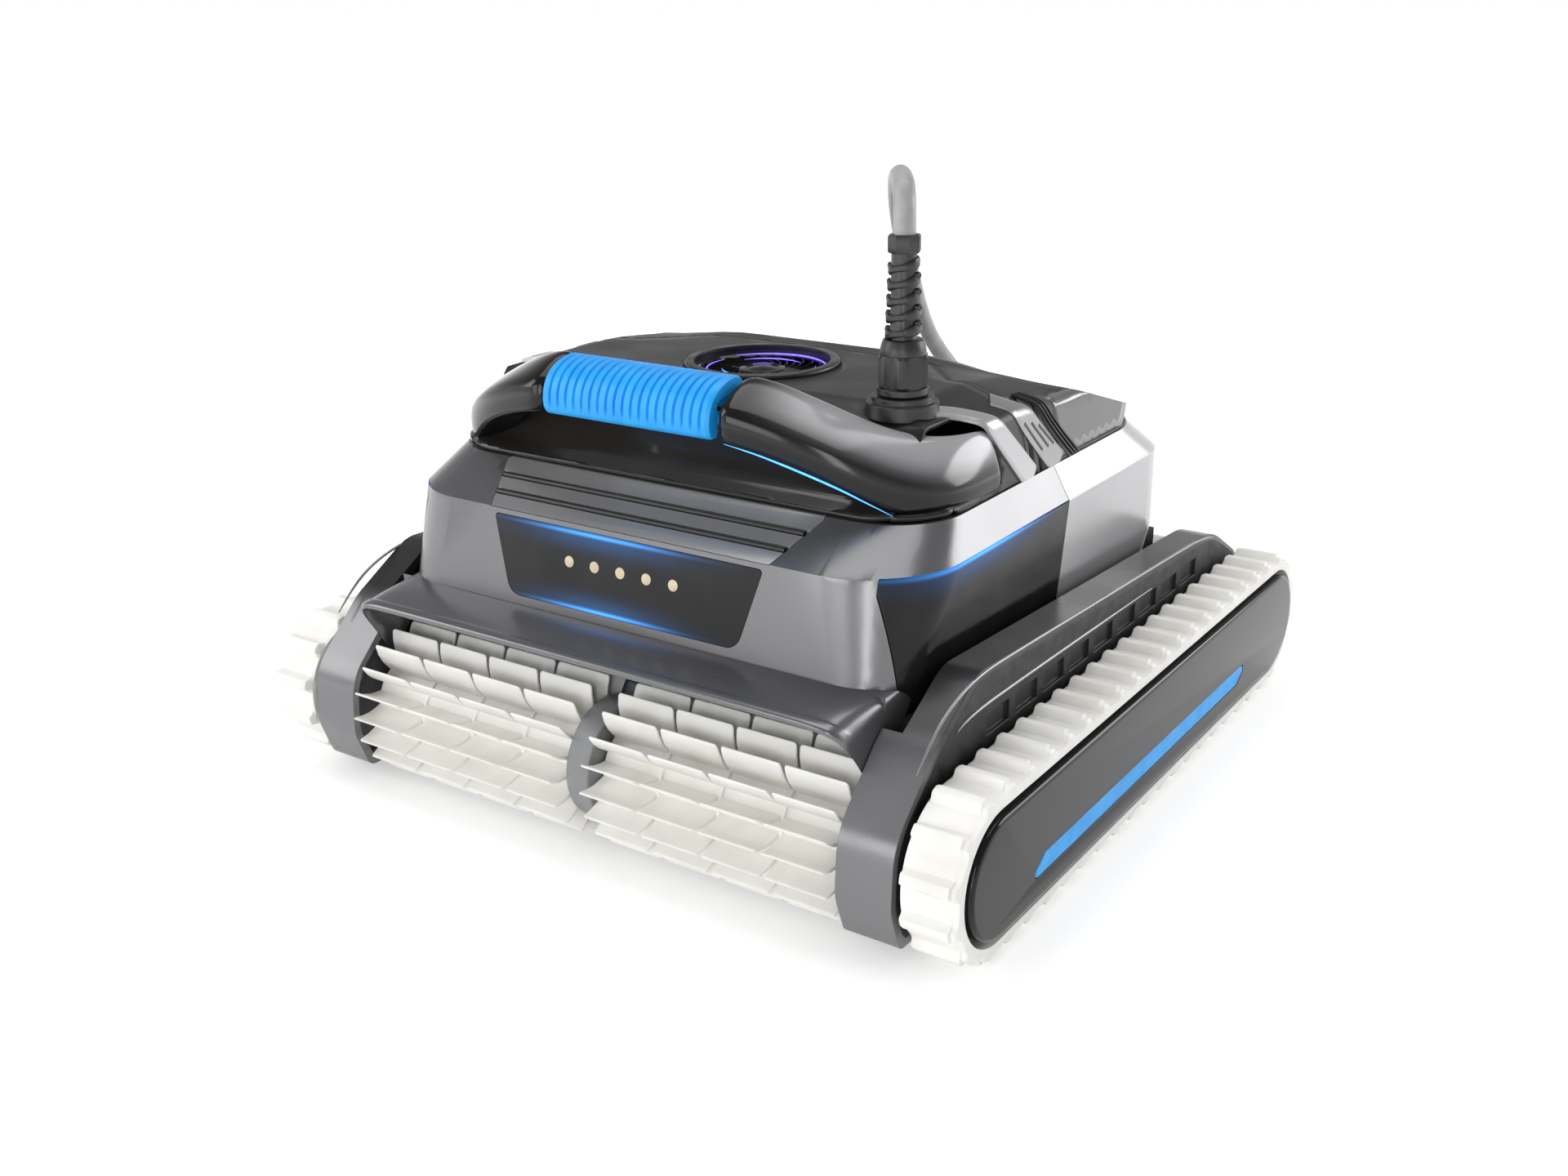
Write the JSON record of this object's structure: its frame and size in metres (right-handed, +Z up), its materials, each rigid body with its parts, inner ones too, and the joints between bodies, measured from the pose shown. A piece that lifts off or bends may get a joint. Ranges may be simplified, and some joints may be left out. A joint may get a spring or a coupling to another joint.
{
  "type": "pool cleaner",
  "caption": "Corded tracked pool cleaning robot with finned brush rollers, two lugged belts, a carry handle, a top pump outlet and a light window in front.",
  "frame": {"origin": "middle of the footprint, on the floor under the belts", "axes": "front faces -Y, +X is on the right as seen from the front, +Z is up"},
  "size_m": [0.4662, 0.6906, 0.3196],
  "materials": {
    "gunmetal_shell": "metallic grey moulded shell",
    "black_cover": "satin black moulded cover",
    "gloss_black": "high-gloss black",
    "grip_blue": "bright blue soft-touch",
    "smoked_lens": "smoked lens",
    "grey_window": "grey translucent inspection window",
    "dark_trim": "dark grey trim",
    "chassis_plastic": "black moulded plastic",
    "relief_rubber": "black elastomer",
    "cream_rubber": "cream elastomer",
    "grey_plastic": "grey moulded plastic",
    "bearing_plastic": "white bearing plastic",
    "motor_steel": "drawn steel can",
    "stainless_screws": "stainless pan-head screws",
    "circuit_board": "solder-masked board",
    "cable_jacket": "grey floating-cable jacket",
    "tie_black": "black plastic"
  },
  "bodies": {
    "machine": {"accent_strip_left": "grip_blue", "accent_strip_right": "grip_blue", "belt_left": "cream_rubber", "belt_right": "cream_rubber", "bend_relief": "relief_rubber", "brush_collar_front": "grey_plastic", "brush_collar_rear": "grey_plastic", "cable_coil": "cable_jacket", "cable_plug": "tie_black", "cable_run": "cable_jacket", "carry_handle": "gloss_black", "chassis_tray": "chassis_plastic", "coil_tie": "tie_black", "control_board": "circuit_board", "drive_motors": "motor_steel", "fender_left": "dark_trim", "fender_right": "dark_trim", "filter_basket": "chassis_plastic", "front_grille": "gunmetal_shell", "front_shell": "gunmetal_shell", "gland_flange": "dark_trim", "gland_neck": "dark_trim", "gland_nut": "dark_trim", "handle_grip": "grip_blue", "led_board": "circuit_board", "led_window": "smoked_lens", "motor_box": "chassis_plastic", "motor_box_lid": "chassis_plastic", "outer_plate_left": "gloss_black", "outer_plate_right": "gloss_black", "outlet_duct": "chassis_plastic", "outlet_guard": "dark_trim", "outlet_ring": "dark_trim", "pump_motor": "motor_steel", "rear_cover": "black_cover", "rear_shell": "gunmetal_shell", "shaft_bushes": "bearing_plastic", "shell_screws": "stainless_screws", "side_frame_left": "chassis_plastic", "side_frame_right": "chassis_plastic", "side_panel_left": "gloss_black", "side_panel_right": "gloss_black", "top_cover": "black_cover", "window_left": "grey_window", "window_right": "grey_window"},
    "roller_front_left": {"brush_front_left": "cream_rubber", "wheel_front_left": "grey_plastic"},
    "roller_front_right": {"brush_front_right": "cream_rubber", "wheel_front_right": "grey_plastic"},
    "roller_rear_left": {"brush_rear_left": "cream_rubber", "wheel_rear_left": "grey_plastic"},
    "roller_rear_right": {"brush_rear_right": "cream_rubber", "wheel_rear_right": "grey_plastic"},
    "drive_left": {"drive_sprocket_left": "grey_plastic"},
    "drive_right": {"drive_sprocket_right": "grey_plastic"},
    "pump_rotor": {"propeller": "grey_plastic"},
    "filter_door": {"filter_door": "chassis_plastic"},
    "inlet_flap_left": {"inlet_flap_left": "chassis_plastic"},
    "inlet_flap_right": {"inlet_flap_right": "chassis_plastic"}
  },
  "joints": [
    {"name": "roller_front_left_spin", "type": "hinge", "parent": "machine", "child": "roller_front_left", "pos_m": [-0.16, -0.174, 0.041], "axis": [1, 0, 0], "continuous": true},
    {"name": "roller_rear_left_spin", "type": "hinge", "parent": "machine", "child": "roller_rear_left", "pos_m": [-0.16, 0.174, 0.041], "axis": [1, 0, 0], "continuous": true},
    {"name": "drive_left_spin", "type": "hinge", "parent": "machine", "child": "drive_left", "pos_m": [-0.19, -0.045, 0.0531], "axis": [1, 0, 0], "continuous": true},
    {"name": "roller_front_right_spin", "type": "hinge", "parent": "machine", "child": "roller_front_right", "pos_m": [0.16, -0.174, 0.041], "axis": [1, 0, 0], "continuous": true},
    {"name": "roller_rear_right_spin", "type": "hinge", "parent": "machine", "child": "roller_rear_right", "pos_m": [0.16, 0.174, 0.041], "axis": [1, 0, 0], "continuous": true},
    {"name": "drive_right_spin", "type": "hinge", "parent": "machine", "child": "drive_right", "pos_m": [0.19, -0.045, 0.0531], "axis": [1, 0, 0], "continuous": true},
    {"name": "pump_spin", "type": "hinge", "parent": "machine", "child": "pump_rotor", "pos_m": [0, -0.045, 0.176], "axis": [0, 0, 1], "continuous": true},
    {"name": "filter_door_hinge", "type": "hinge", "parent": "machine", "child": "filter_door", "pos_m": [0, 0.017, 0.0135], "axis": [-1, 0, 0], "range_deg": [0, 95]},
    {"name": "inlet_flap_left_hinge", "type": "hinge", "parent": "filter_door", "child": "inlet_flap_left", "pos_m": [-0.055, 0.045, 0.019], "axis": [1, 0, 0], "range_deg": [0, 60]},
    {"name": "inlet_flap_right_hinge", "type": "hinge", "parent": "filter_door", "child": "inlet_flap_right", "pos_m": [0.055, 0.045, 0.019], "axis": [1, 0, 0], "range_deg": [0, 60]}
  ],
  "couplings": [
    {"joint": "roller_rear_left_spin", "follows": "roller_front_left_spin", "ratio": 1},
    {"joint": "drive_left_spin", "follows": "roller_front_left_spin", "ratio": 1.6237},
    {"joint": "roller_rear_right_spin", "follows": "roller_front_right_spin", "ratio": 1},
    {"joint": "drive_right_spin", "follows": "roller_front_right_spin", "ratio": 1.6237}
  ]
}
